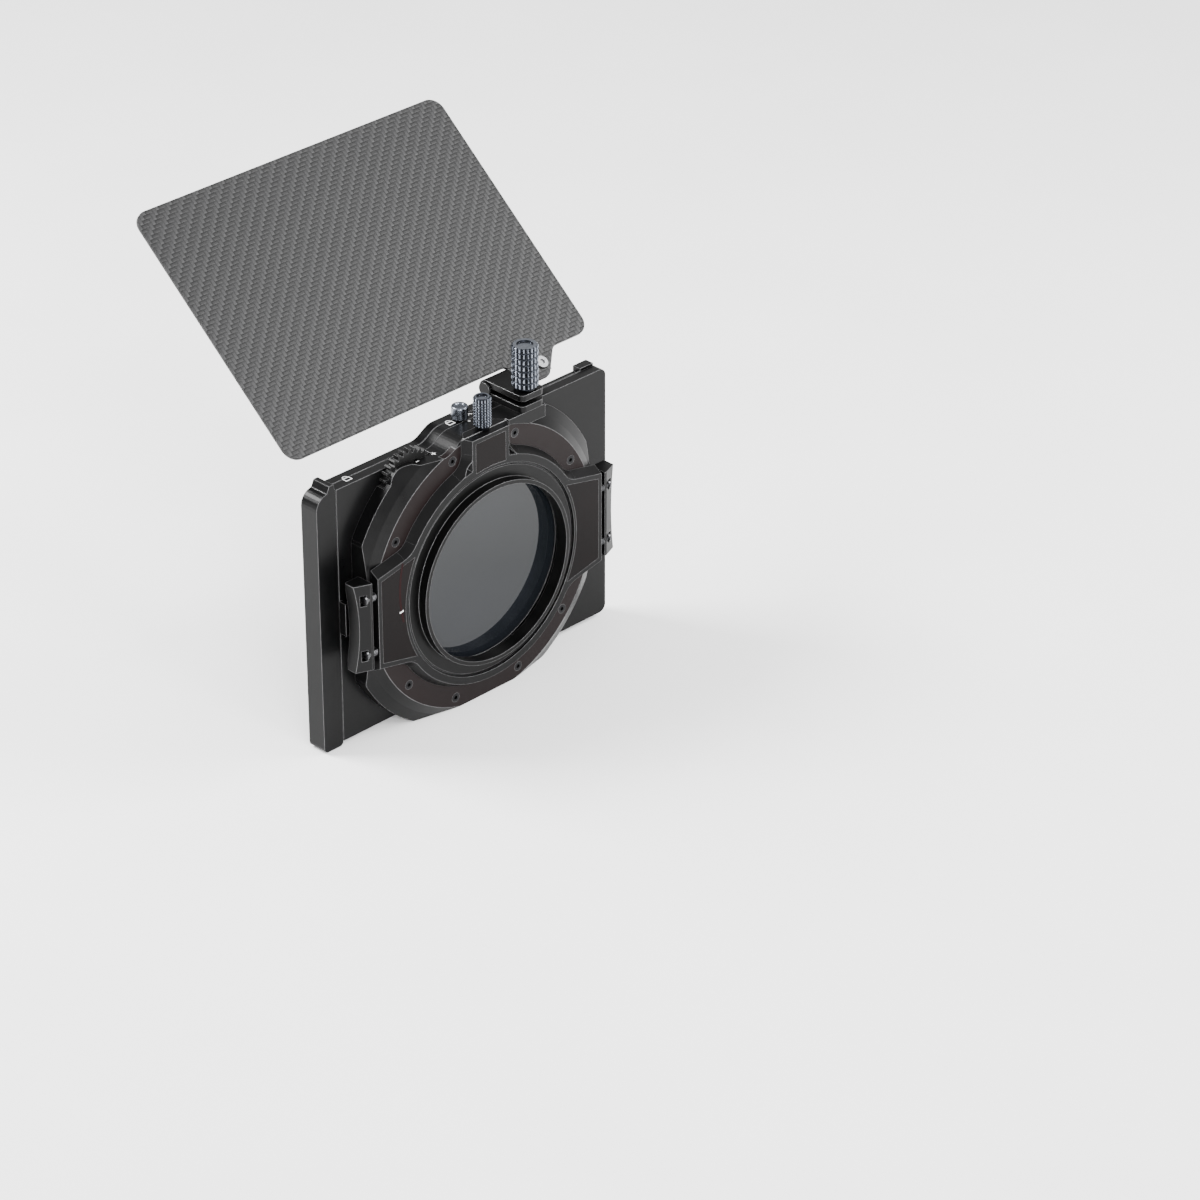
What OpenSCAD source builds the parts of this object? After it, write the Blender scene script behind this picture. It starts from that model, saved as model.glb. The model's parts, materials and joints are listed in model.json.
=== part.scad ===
// Clip-on matte box with a filter tray, a turning variable filter and a folding top flag.
// The optical axis is the Y axis, +Y points at the scene and +Z is up.
// The origin is on the optical axis at the rear face of the lens adapter frame.

/* [Filter housing] */
// Thickness of the housing's front and rear walls
wall_t = 1.5; // [1.2:0.1:1.8]
// Width of the rails round the tray cavity
rail_w = 2.4; // [2:0.1:2.6]
// Radius of the housing's right-hand corners
corner_r = 3.2; // [2:0.1:5]
// How far the front window stands in from the filter's ends
window_in_x = 4.75; // [3:0.25:12]
// How far the front window stands in from the filter's top and bottom edges
window_in_z = 3.8; // [2.8:0.2:10]
// Corner radius of the front window
window_r = 4; // [2:0.5:8]
// Depth of the step along the right part of the top edge
top_step = 1.4; // [0.5:0.1:2]
// Rise of the end stop on the right of the top edge
stop_rise = 1; // [0.5:0.1:3]
// Width of the end stop
stop_w = 9.4; // [5:0.1:12]

/* [Top hump] */
// Height of the hump above the housing's top edge
hump_rise = 4.4; // [3:0.1:6]
// Where the flat top of the hump starts, left of the optical axis
hump_left = 9; // [6:0.5:12]
// Where the flat top of the hump ends, right of the optical axis
hump_right = 32.1; // [32:0.1:33]
// Length of the left slope of the hump
slope_left = 11; // [6:0.5:16]
// Length of the right slope of the hump
slope_right = 3.5; // [3:0.5:10]

/* [Filter tray] */
// Width of the filter
filter_w = 143.5; // [138:0.5:150]
// Height of the filter
filter_h = 101.6; // [98:0.1:106]
// Thickness of the filter
filter_t = 4; // [3:0.1:4.2]
// Room round the filter in its pocket
filter_gap = 0.2; // [0.1:0.05:0.4]
// Width of the tray's rails above and below the filter
tray_rail = 1.3; // [1:0.1:1.6]
// Width of the tray's closed end
tray_end = 1.1; // [0.8:0.1:1.4]
// Wall of the handle outside the filter's end
handle_wall = 4.9; // [3.5:0.1:6]
// Thickness of the tray's front lip
lip_t = 0.9; // [0.8:0.1:1.1]
// Width of the tray handle
handle_w = 9.7; // [8:0.1:12]
// How far the handle reaches below the housing
handle_drop = 1.7; // [0:0.1:3]
// Radius of the handle's top outer corner
handle_r = 6; // [3:0.5:8]
// Height of the finger ridge on the handle
ridge_h = 2.8; // [1:0.1:4]
// Running room of the tray in the housing, each side
tray_gap = 0.3; // [0.2:0.05:0.4]

/* [Filter stage] */
// Radius of the round cover plate
cover_r = 58.8; // [58.5:0.1:60]
// Depth of the stage behind the filter housing
stage_depth = 10.6; // [10.2:0.1:12]
// Height of the stage's straight side wall
side_wall = 6; // [5:0.1:6.4]
// Height at which the outer chamfer ends
shoulder_h = 8.2; // [7.8:0.1:8.8]
// Width of the stage's flat border round the cover plate
border_w = 3.7; // [3.4:0.1:5]
// Width of the stage's outer chamfer
chamfer_w = 4.5; // [4:0.1:5]
// How far the stage's flat foot stands in from the cover plate's radius
foot_in = 1.8; // [0:0.2:3]
// Thickness of the round cover plate
cover_t = 2.8; // [2.6:0.1:3]
// Distance of the cover screws from the cover plate's edge
screw_in = 4; // [3.6:0.1:4.8]
// Radius of a cover screw's head
screw_head_r = 1.9; // [1.5:0.1:2.2]
// Radius of the corners where the stage's flat sides start
waist_r = 3; // [1:0.5:6]

/* [Variable filter] */
// Radius of the clear light path
light_r = 38; // [34:0.5:38]
// Width of the seats of the round filter glasses
glass_seat = 1.4; // [1:0.1:1.6]
// Thickness of a round filter glass
glass_t = 1.5; // [1:0.1:1.5]
// Gear module
gear_m = 0.85; // [0.84:0.005:0.86]
// Teeth on the filter ring
ring_teeth = 106; // [105:1:106]
// Teeth on the thumb wheel
wheel_teeth = 29; // [28:1:30]
// Direction of the thumb wheel from the optical axis, counter-clockwise from +X
wheel_angle = 124.2; // [122:0.2:126]
// Width of the ring's gear teeth
gear_w = 2.2; // [1.8:0.1:2.4]
// Radius of the thumb wheel's axle
axle_r = 1.6; // [1.3:0.1:2]
// Radius of the bulge beside the thumb wheel
lobe_r = 7.8; // [7:0.1:8.4]
// Rise of the bulge above the housing's top edge
lobe_rise = 1.2; // [0.4:0.1:1.6]

/* [Lens adapter] */
// Height of the adapter frame behind the cover plate
frame_t = 4; // [3.8:0.1:5]
// Width of the adapter's round rim
rim_w = 5.5; // [4.5:0.1:6.5]
// Width of the adapter ring
ring_w = 6; // [5.5:0.1:6.5]
// Radius of the lens filter thread
thread_r = 38.5; // [38:0.1:41]
// Length of the thread spigot
thread_len = 4; // [3:0.1:5]
// Width of the chamfer round the adapter frame
bevel_w = 2.4; // [1.5:0.1:3]
// How far the side arms reach past the cover plate's radius
arm_past = 0.8; // [0.6:0.1:1]
// Half height of a side arm at its end
arm_end_half = 22; // [20:0.5:23]
// Slope of the side arms' edges, in degrees
arm_slope = 11.5; // [8:0.5:14]
// Half width of the top arm
top_arm_half = 12; // [10:0.5:12.4]
// Height of the top arm above the housing's hump
top_arm_rise = 0.9; // [0.6:0.1:1.6]
// Depth of the tongue that locates the stage on the adapter
tongue_depth = 3; // [2:0.1:4]
// Radius of the fillets between the arms and the rim
arm_fillet = 7; // [5:0.5:9]
// Depth of the recesses for the inlays
inlay_t = 0.5; // [0.3:0.05:0.8]
// Width of the border round an inlay
inlay_border = 1.8; // [1.2:0.1:3]

/* [Latches] */
// How far the latches reach past the side arms
latch_depth = 9.7; // [9.4:0.1:11]
// Half height of a latch
latch_half = 18.8; // [18:0.1:22]
// Depth of the finger hollow in a latch
finger_dish = 1.9; // [1:0.1:2]
// Inward travel that frees a latch
latch_travel = 1.2; // [1:0.05:1.2]
// Radius of the latch guide pins
pin_r = 1.1; // [0.9:0.05:1.2]
// Height of the guide pins above and below the optical axis
pin_z = 12; // [10:0.5:14]

/* [Top flag] */
// Width of the flag
flag_w = 157; // [140:1:170]
// Depth of the flag
flag_d = 112.8; // [90:0.2:130]
// Thickness of the flag
flag_t = 1.4; // [1:0.1:2]
// Corner radius of the flag
flag_r = 6; // [3:0.5:10]
// Tilt of the flag above the horizontal at rest
flag_tilt = 40; // [0:1:80]
// Distance of the flag's near edge from the hinge axis
flag_gap = 4.4; // [4.2:0.1:6]
// Width of the flag's fixing tab
tab_w = 19.6; // [16:0.1:24]
// Length of the tab behind the hinge axis
tab_back = 5; // [4.5:0.1:6]
// Spacing of the two flag screws
flag_screw_pitch = 11; // [9:0.5:12]

/* [Flag bracket] */
// Left face of the flag bracket, from the optical axis
bracket_x = 19.5; // [18:0.1:19.8]
// Width of the flag bracket
bracket_w = 12.4; // [11:0.1:12.6]
// Radius of the hinge barrel
barrel_r = 3.6; // [3.4:0.1:4]
// Radius of the hinge shaft
shaft_r = 2; // [1.6:0.1:2.2]
// Radius of the flag arm's clamping block
block_r = 3.5; // [3.2:0.1:3.6]
// Height of the flat above the hinge axis
flat_h = 0.3; // [0:0.1:1]
// Reach of the bracket behind the hinge axis
bracket_back = 20; // [18:0.5:21]
// Height of the clamping slot
slot_h = 2.2; // [1.6:0.1:2.6]

/* [Knobs] */
// Radius of the flag clamp knob
clamp_knob_r = 5.3; // [4.5:0.1:6]
// Height of the flag clamp knob
clamp_knob_h = 19; // [14:0.5:22]
// Radius of the adapter lock knob
lock_knob_r = 3.5; // [3:0.1:4.5]
// Height of the adapter lock knob
lock_knob_h = 13.5; // [12:0.5:18]
// Radius of the tray lock knob
cap_knob_r = 3.35; // [3:0.05:4]
// Height of the tray lock knob
cap_knob_h = 5.5; // [4:0.5:8]
// Radius of the knobs' studs
stud_r = 1.4; // [1:0.1:1.5]

/* [Hidden] */
$fn = 96;
// Clearance of a shaft in its bore, and of a piece that slides or swings
run_gap = 0.05;
slide_gap = 0.3;
eps = 0.01;
// What a fillet stands proud of the faces it joins, so that they cross cleanly
seam = 0.02;
far = 200;

// Stations along the optical axis
y_cover = frame_t;
y_plate = frame_t + stage_depth;
housing_t = filter_t + filter_gap + lip_t + 2 * (tray_gap + wall_t);
y_front = y_plate + housing_t;
y_split = y_plate + housing_t / 2;

// Filter housing
total_w = handle_wall + filter_w + 2 * filter_gap + tray_end + tray_gap + rail_w;
x_right = total_w / 2;
x_left = -total_w / 2 + handle_w + tray_gap;
z_top = filter_h / 2 + filter_gap + tray_rail + tray_gap + rail_w;
window_w = filter_w - 2 * window_in_x;
window_h = filter_h - 2 * window_in_z;
z_hump = z_top + hump_rise;
cavity_half = z_top - rail_w;
cavity_right = x_right - rail_w;
light_open_r = light_r + 3;
groove = 0.35;
slope_steps = 10;
housing_screw_r = 0.7;
housing_screw_head_r = 1.1;
housing_screw_z = z_top - 1.35;
housing_screw_x = [x_left + 8.3, -22, 24, x_right - 4.3];

// Tray, from the cavity and the filter
tray_half = cavity_half - tray_gap;
tray_right = cavity_right - tray_gap;
tray_rear = y_plate + wall_t + tray_gap;
tray_front = y_front - wall_t - tray_gap;
pocket_left = tray_right - tray_end - filter_w - 2 * filter_gap;
pocket_half_h = filter_h / 2 + filter_gap;
pocket_front = tray_front - lip_t;
handle_left = -total_w / 2;
handle_right = handle_left + handle_w;
ridge_w = 3.4;

// Tray lock
lock_x = 0.5;
lock_y = y_plate + 3.1;
lock_pin_r = 1.1;
notch_depth = 0.7;

// Stage and variable filter
y_shoulder = y_plate - shoulder_h;
shoulder_r = cover_r + border_w;
stage_r = shoulder_r + chamfer_w;
stage_foot = cover_r - foot_in;
screw_circle_r = cover_r - screw_in;
glass_r = light_r + glass_seat;
y_side = y_plate - side_wall;
side_wall_start = y_plate - side_wall + 2.4;
cover_front = y_cover + cover_t;
ring_rear = cover_front + slide_gap;
web_t = 0.8;
ring_front = y_plate - web_t - slide_gap;
pitch_r = gear_m * ring_teeth / 2;
wheel_pitch_r = gear_m * wheel_teeth / 2;
mesh_gap = 0.05;
backlash = 0.14;
addendum = 0.95 * gear_m;
dedendum = 1.15 * gear_m;
pressure_angle = 20;
axle_dist = pitch_r + wheel_pitch_r + mesh_gap;
wheel_x = axle_dist * cos(wheel_angle);
wheel_z = axle_dist * sin(wheel_angle);
tip_r = pitch_r + addendum;
wheel_tip_r = wheel_pitch_r + addendum;
gear_front = ring_front - 0.2;
gear_rear = gear_front - gear_w;
wheel_front = y_plate - slide_gap - 0.1;
lobe_x = wheel_x - 4.2;
lobe_z = z_top + lobe_rise - lobe_r;
lobe_end = hump_left + slope_left + 10;
drum_r = pitch_r - dedendum - 0.2;
journal_r = glass_r + 1.6;
seat_lip = 0.9;
retainer_t = 0.8;
screw_angles = [17.5, 58, 131, 162];
screw_len = 5.5;
screw_shank_r = 0.9;
screw_head_t = 1.1;
hex_r = 0.9;
pad_left = top_arm_half + slide_gap + 0.4;
pad_rear = y_cover - 0.8;
notch_floor = z_top - 3.7;
tongue_front = y_cover + tongue_depth;
tongue_half = 8.2;

// Adapter
arm_reach = cover_r + arm_past;
top_arm_z = z_hump + top_arm_rise;
ring_r = thread_r + ring_w;
rim_r = ring_r + rim_w;
rim_inner = ring_r;
ring_flange = 2.6;
ring_recess = 0.6;
ring_bore_r = thread_r - 1.7;
arm_root = 38;
arm_root_half = arm_end_half + (arm_reach - arm_root) * tan(arm_slope);
bevel_edge = bevel_w / cos(arm_slope);
top_bevel = 0.7;
arm_corner = 1;
inlay_inner_r = ring_r + 1.3;
adapter_lock_y = frame_t + 0.6;

// Latches
latch_reach = arm_reach + latch_depth;
latch_y0 = 0.6;
latch_y1 = 8.3;
latch_slope_y = 3.2;
block_x0 = arm_reach + 2.4;
block_x1 = block_x0 + 2.4;
pin_y = frame_t / 2;
pin_embed = 4;
pin_head_r = 1.8;
pin_head_t = 0.8;
pocket_half = 2.3;
pocket_w = 2.5;
hook_half = 6;
hook_t = 1.6;
nose_w = 1.2;
nose_t = 1.2;
hook_front = y_plate - 0.6;
keeper_x = block_x0 + hook_t + nose_w - 0.8;
lip_y1 = hook_front - nose_t - slide_gap;
lip_y0 = lip_y1 - 1.3;
keeper_wall_x = keeper_x + 1;
keeper_out = keeper_wall_x + 1.4;
spring_wire_r = 0.2;
spring_r = pin_r + spring_wire_r + 0.25;
spring_turns = 3;
dish_r = (latch_half * latch_half + finger_dish * finger_dish) / (2 * finger_dish);

// Flag hinge
hinge_y = y_front - 0.3;
hinge_z = z_hump + max(barrel_r + 0.1, block_r + slide_gap);
bracket_right = bracket_x + bracket_w;
bracket_top = hinge_z + barrel_r;
bracket_rear = hinge_y - bracket_back;
bracket_r = 2.4;
clamp_x = bracket_x + bracket_w / 2;
clamp_y = bracket_rear + 4.6;
arm_left = bracket_right + 0.3;
tab_x = arm_left + 0.9;
arm_right = tab_x + tab_w - 0.5;
tab_r = 4.6;
notch_r = 2.2;
flag_screw_x = tab_x + tab_w / 2;
flag_head_r = 2.5;
flag_head_t = 0.9;
flag_screw_r = 1.1;
shaft_cap_r = 2.9;
shaft_cap_t = 0.8;

// A flat outline drawn in X and Z, made solid from y0 to y1
module slab(y0, y1) {
    translate([0, y1, 0])
    rotate([90, 0, 0])
    linear_extrude(y1 - y0)
    children();
}

// A round bar along Y, with an optional taper
module bar_y(r, y0, y1, x = 0, z = 0, r2 = -1) {
    translate([x, y0, z])
    rotate([-90, 0, 0])
    cylinder(r1 = r, r2 = r2 < 0 ? r : r2, h = y1 - y0);
}

// A turned body about the optical axis; its profile is drawn as radius and Y
module turned() {
    rotate([-90, 0, 0])
    rotate_extrude()
    children();
}

// A ring about the optical axis
module ring_y(r_out, r_in, y0, y1) {
    turned()
    translate([r_in, y0])
    square([r_out - r_in, y1 - y0]);
}

// A box between two corners
module block(low, high) {
    translate(low)
    cube(high - low);
}

// A rectangle with round corners, centred
module round_rect(w, h, r) {
    square([w - 2 * r, h], center = true);
    square([w, h - 2 * r], center = true);
    for (x = [-1, 1], z = [-1, 1])
        translate([x * (w / 2 - r), z * (h / 2 - r)])
        circle(r);
}

// Points on a smooth slope between two levels
function slope(x0, z0, x1, z1) =
    [for (i = [0:slope_steps])
        let (t = i / slope_steps)
        [x0 + (x1 - x0) * t, z0 + (z1 - z0) * (1 - cos(180 * t)) / 2]];

// Points on an arc
function arc(cx, cz, r, a0, a1, n = 8) =
    [for (i = [0:n])
        let (a = a0 + (a1 - a0) * i / n)
        [cx + r * cos(a), cz + r * sin(a)]];

// Top line of the box from left to right, with the hump
function top_line(left, right) =
    concat([[left, z_top]],
           slope(-hump_left - slope_left, z_top, -hump_left, z_hump),
           slope(hump_right, z_hump, hump_right + slope_right, z_top),
           [[right, z_top]]);

// Outline of the filter housing
module housing_outline() {
    polygon(concat(
        [[x_left, -z_top], [x_left, z_top]],
        slope(-hump_left - slope_left, z_top, -hump_left, z_hump),
        slope(hump_right, z_hump, hump_right + slope_right, z_top),
        arc(x_right - corner_r, z_top - corner_r, corner_r, 90, 0),
        arc(x_right - corner_r, -z_top + corner_r, corner_r, 0, -90)));
}

// The tray cavity, open on the left
module tray_cavity(y0, y1) {
    block([x_left - 1, y0, -cavity_half], [cavity_right, y1, cavity_half]);
}

// Places of the housing screws, along the top and bottom rails
module at_housing_screws() {
    for (x = housing_screw_x, side = [-1, 1])
        translate([x, 0, side * housing_screw_z])
        children();
}

module housing_screw() {
    bar_y(housing_screw_r, y_split - 2.6, y_front - 0.9);
    bar_y(housing_screw_head_r, y_front - 0.9, y_front);
}

module tray_housing_rear() {
    color([0.13, 0.13, 0.14])
    difference() {
        slab(y_plate, y_split) housing_outline();
        tray_cavity(y_plate + wall_t, y_split + 1);
        bar_y(light_open_r, y_plate - 1, y_plate + wall_t + 1);
        at_housing_screws() housing_screw();
        lock_bore();
    }
    color([0.13, 0.13, 0.14])
    for (side = [0, 1])
        mirror([side, 0, 0])
        keeper();
}

module tray_housing_front() {
    color([0.13, 0.13, 0.14])
    difference() {
        union() {
            slab(y_split + groove, y_front) housing_outline();
            slab(y_split, y_split + groove)
            intersection() {
                housing_outline();
                translate([-groove, -groove]) housing_outline();
                translate([-groove, groove]) housing_outline();
            }
            block([x_right - stop_w, y_split + groove, z_top - corner_r],
                  [x_right - 2.2, y_front, z_top + stop_rise]);
        }
        tray_cavity(y_split - 1, y_front - wall_t);
        slab(y_front - wall_t - 1, y_front + 1) round_rect(window_w, window_h, window_r);
        block([hump_right + slope_right + 4, y_split + groove + 0.5, z_top - top_step],
              [x_right - stop_w, y_front + 1, z_top + far]);
        at_housing_screws() housing_screw();
    }
}

module housing_screws() {
    color([0.3, 0.3, 0.32])
    at_housing_screws()
    difference() {
        housing_screw();
        bar_y(0.55, y_front - 0.6, y_front + 1);
    }
}

// The bore of the tray lock, down through the hump
module lock_bore() {
    translate([lock_x, lock_y, cavity_half - 1])
    cylinder(r = lock_pin_r + run_gap, h = far);
}

// The tray before its cuts; its left end sits in a slot in the handle
module tray_blank() {
    block([pocket_left, tray_rear, -tray_half], [tray_right, tray_front, tray_half]);
}

module filter_tray() {
    color([0.16, 0.16, 0.17])
    difference() {
        tray_blank();
        filter_pocket();
        slab(pocket_front - 1, tray_front + 1) round_rect(window_w, window_h, window_r);
        translate([lock_x, lock_y, tray_half - notch_depth])
        cylinder(r = lock_pin_r + slide_gap, h = far);
    }
}

// The room that the rectangular filter takes
module filter_pocket() {
    block([pocket_left - 1, tray_rear - 1, -pocket_half_h],
          [tray_right - 1.1, pocket_front, pocket_half_h]);
}

// Side outline of the tray handle, with its ridge
module handle_outline() {
    polygon(concat(
        [[handle_right, -z_top - handle_drop + 1], [handle_right, z_top - 0.4]],
        slope(handle_right - 0.3, z_top, handle_right - 0.9, z_top + ridge_h),
        slope(handle_right - ridge_w + 0.6, z_top + ridge_h, handle_right - ridge_w - 1.2, z_top),
        arc(handle_left + handle_r, z_top - handle_r, handle_r, 90, 180),
        arc(handle_left + 2, -z_top - handle_drop + 2, 2, 180, 270, 4),
        [[handle_right - 1, -z_top - handle_drop]]));
}

module tray_handle() {
    color([0.2, 0.2, 0.21])
    difference() {
        slab(y_plate, y_front) handle_outline();
        tray_blank();
    }
}

module tray_lock_knob() {
    base = z_hump + 0.2;
    color([0.3, 0.32, 0.36])
    translate([lock_x, lock_y, 0]) {
        translate([0, 0, base])
        rotate_extrude()
        polygon(concat(
            [[0, 0], [cap_knob_r - 0.5, 0], [cap_knob_r - 0.2, 0.3], [cap_knob_r, 0.5]],
            arc(cap_knob_r - 0.7, cap_knob_h - 0.7, 0.7, 0, 90, 6),
            [[cap_knob_r - 1.3, cap_knob_h], [cap_knob_r - 1.7, cap_knob_h - 0.5],
             [0, cap_knob_h - 0.5]]));
        translate([0, 0, tray_half + slide_gap])
        cylinder(r = lock_pin_r, h = base - tray_half - slide_gap);
    }
}

// Outline of the stage: a disc with flat sides and foot, and a bulge beside the thumb wheel
module stage_outline() {
    difference() {
        intersection() {
            union() {
                circle(stage_r, $fn = 240);
                translate([lobe_x, lobe_z]) circle(lobe_r);
            }
            stage_limits();
        }
        for (sx = [0, 1], sz = [0, 1])
            mirror([sx, 0])
            mirror([0, sz])
            waist_corner();
    }
}

// What rounds one corner between the disc and a flat side
module waist_corner() {
    cx = arm_reach - waist_r;
    c = [cx, sqrt(pow(stage_r - waist_r, 2) - cx * cx)];
    difference() {
        polygon([c, [c[0] + 2 * waist_r, c[1]], c * (stage_r + waist_r) / (stage_r - waist_r)]);
        translate(c) circle(waist_r - seam);
    }
}

// The flat sides, the foot and the top line, with its shoulder beside the thumb wheel
module stage_limits() {
    polygon(concat(
        [[-arm_reach, -stage_foot], [-arm_reach, z_top + lobe_rise]],
        slope(-lobe_end - 4, z_top + lobe_rise, -lobe_end, z_top),
        slope(-hump_left - slope_left, z_top, -hump_left, z_hump),
        slope(hump_right, z_hump, hump_right + slope_right, z_top),
        [[arm_reach, z_top], [arm_reach, -stage_foot]]));
}

// The screws that hold the cover plate, as angles from straight up on both sides
module at_cover_screws() {
    for (a = screw_angles, side = [-1, 1])
        translate([side * screw_circle_r * sin(a), 0, screw_circle_r * cos(a)])
        children();
}

module cover_screw() {
    bar_y(screw_head_r, y_cover, y_cover + screw_head_t);
    bar_y(screw_shank_r, y_cover + screw_head_t, y_cover + screw_len);
}

// The notch at the top that takes the adapter's top arm and its tongue
module tongue_notch(gap) {
    translate([0, 0, notch_floor])
    linear_extrude(far)
    tongue_plan(gap, -far);
}

// Plan of the tongue, with its slanted sides
module tongue_plan(gap, rear) {
    side = top_arm_half - arm_corner + gap;
    polygon([[-side, rear], [-side, y_cover], [-tongue_half - gap, tongue_front + gap],
             [tongue_half + gap, tongue_front + gap], [side, y_cover], [side, rear]]);
}

// The stage's chamfered form, turned; it runs past the outline, which trims it
module stage_turning() {
    reach = (side_wall_start - y_shoulder) / (y_side - y_shoulder) * (stage_r - shoulder_r);
    turned()
    polygon([[0, y_cover], [cover_r, y_cover], [shoulder_r, y_shoulder],
             [shoulder_r + reach, side_wall_start], [shoulder_r + reach, y_plate],
             [0, y_plate]]);
}

module stage_body() {
    color([0.15, 0.15, 0.16])
    difference() {
        union() {
            intersection() {
                slab(0, y_plate) stage_outline();
                stage_turning();
            }
            block([pad_left, pad_rear, z_top - 1], [hump_right, y_plate, z_hump]);
        }
        bar_y(cover_r, y_cover - 1, cover_front);
        bar_y(tip_r + 0.6, cover_front - 1, ring_front + slide_gap);
        bar_y(journal_r + run_gap, ring_front, y_plate + 1);
        bar_y(wheel_tip_r + slide_gap, gear_rear - slide_gap, y_plate + 1, wheel_x, wheel_z);
        bar_y(axle_r, cover_front - 1, y_plate + 1, wheel_x, wheel_z);
        tongue_notch(slide_gap);
        at_cover_screws() cover_screw();
        translate([clamp_x, clamp_y, z_hump - 4.5]) cylinder(r = stud_r + run_gap, h = far);
    }
}

// The catch that a latch hook grips, on the back of the filter housing
module keeper() {
    block([keeper_wall_x, lip_y0, -hook_half - 1],
          [keeper_out, y_plate + eps, hook_half + 1]);
    block([keeper_x, lip_y0, -hook_half - 1], [keeper_wall_x, lip_y1, hook_half + 1]);
}

module stage_cover() {
    color([0.17, 0.14, 0.14])
    difference() {
        intersection() {
            turned()
            polygon([[light_r, cover_front], [light_r, cover_front - seat_lip],
                     [glass_r, cover_front - seat_lip], [glass_r, y_cover],
                     [cover_r, y_cover], [cover_r, cover_front]]);
            slab(0, y_plate) stage_limits();
        }
        tongue_notch(slide_gap);
        at_cover_screws() cover_screw();
    }
}

module cover_screws() {
    color([0.22, 0.22, 0.23])
    at_cover_screws()
    difference() {
        cover_screw();
        bar_y(hex_r, y_cover - 1, y_cover + 0.8, $fn = 6);
    }
}

module fixed_glass() {
    color([0.25, 0.26, 0.28, 0.6])
    bar_y(glass_r, cover_front - seat_lip - glass_t, cover_front - seat_lip);
}

module fixed_glass_retainer() {
    color([0.1, 0.1, 0.11])
    ring_y(glass_r, light_r, y_cover, cover_front - seat_lip - glass_t);
}

// One tooth outline after another, round a gear of the given tooth count
function gear_points(teeth, phase) =
    let (r = gear_m * teeth / 2,
         half = (PI * gear_m / 4 - backlash / 4) / r * 180 / PI,
         tip_half = half - addendum * tan(pressure_angle) / r * 180 / PI,
         root_half = half + dedendum * tan(pressure_angle) / r * 180 / PI)
    [for (i = [0:teeth - 1])
        for (p = [[r - dedendum, -root_half], [r + addendum, -tip_half],
                  [r + addendum, tip_half], [r - dedendum, root_half]])
            let (a = phase + i * 360 / teeth + p[1])
            [p[0] * cos(a), p[0] * sin(a)]];

module filter_ring() {
    color([0.12, 0.12, 0.13])
    difference() {
        union() {
            slab(gear_rear, gear_front) polygon(gear_points(ring_teeth, wheel_angle));
            bar_y(drum_r, ring_rear, ring_front);
            bar_y(journal_r, ring_front - 1, y_plate - 0.3);
        }
        bar_y(light_r, ring_rear - 1, y_plate + 1);
        bar_y(glass_r, ring_rear - 1, ring_front - seat_lip);
    }
}

module turning_glass() {
    color([0.25, 0.26, 0.28, 0.6])
    bar_y(glass_r, ring_front - seat_lip - glass_t, ring_front - seat_lip);
}

module turning_glass_retainer() {
    y1 = ring_front - seat_lip - glass_t;
    color([0.1, 0.1, 0.11])
    ring_y(glass_r, light_r, y1 - retainer_t, y1);
}

module thumb_wheel() {
    color([0.2, 0.2, 0.21])
    translate([wheel_x, 0, wheel_z])
    difference() {
        slab(gear_rear, wheel_front)
        polygon(gear_points(wheel_teeth, wheel_angle + 180 + 180 / wheel_teeth));
        bar_y(axle_r + run_gap, 0, far);
        for (i = [0:5])
            rotate([0, i * 60, 0])
            bar_y(1.9, 0, far, 7);
    }
}

module wheel_axle() {
    color([0.7, 0.7, 0.72])
    bar_y(axle_r, cover_front, y_plate, wheel_x, wheel_z);
}

// A wedge-shaped half space that gives an edge its bevel; it runs along X, its foot at Z = 0
module bevel_side(inset) {
    translate([-far / 2, 0, 0])
    rotate([90, 0, 90])
    linear_extrude(far)
    polygon([[0, -far], [0, -inset], [y_cover, 0], [y_cover, -far]]);
}

// The upper long edge of the right-hand arm
module arm_edge() {
    translate([arm_reach, 0, arm_end_half])
    rotate([0, arm_slope, 0])
    bevel_side(bevel_w);
}

// The right-hand edge of the top arm
module top_arm_edge() {
    translate([top_arm_half, 0, 0])
    rotate([0, 90, 0])
    bevel_side(bevel_w);
}

// The right-hand arm with its bevelled long edges
module side_arm() {
    intersection() {
        block([arm_root, 0, -far], [arm_reach, y_cover, far]);
        arm_edge();
        mirror([0, 0, 1]) arm_edge();
    }
}

// The top arm, bevelled on three sides
module top_arm() {
    intersection() {
        slab(0, y_cover)
        polygon([[-top_arm_half, arm_root], [-top_arm_half, top_arm_z - arm_corner],
                 [-top_arm_half + arm_corner, top_arm_z], [top_arm_half - arm_corner, top_arm_z],
                 [top_arm_half, top_arm_z - arm_corner], [top_arm_half, arm_root]]);
        translate([0, 0, top_arm_z]) bevel_side(top_bevel);
        top_arm_edge();
        mirror([1, 0, 0]) top_arm_edge();
    }
}

// Fills one corner between the rim and a straight edge with a concave fillet.
// The edge starts at the point p and runs in direction dir; the fillet lies on the side of n.
module corner_fillet(p, dir, n) {
    reach = rim_r + arm_fillet;
    off = p + arm_fillet * n;
    along = off * dir;
    root = sqrt(reach * reach - (off * off - along * along));
    c = off - (root + along) * dir;
    t_edge = c - arm_fillet * n;
    t_rim = c * rim_r / reach;
    difference() {
        slab(0, y_cover)
        polygon([c, t_edge, t_edge - 4 * n, c * (rim_r - 4) / reach, t_rim]);
        bar_y(arm_fillet + bevel_w - seam, 0, y_cover, c[0], c[1], arm_fillet - seam);
        bar_y(arm_fillet + bevel_w - seam, -1, 0, c[0], c[1]);
    }
}

// The outlines of the rear faces, for the inlays
module side_inlay_outline() {
    b = inlay_border;
    e = bevel_edge + b;
    difference() {
        polygon([[arm_root, -arm_root_half + e], [arm_root, arm_root_half - e],
                 [arm_reach - b, arm_end_half - e], [arm_reach - b, -arm_end_half + e]]);
        circle(inlay_inner_r);
    }
}

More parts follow.
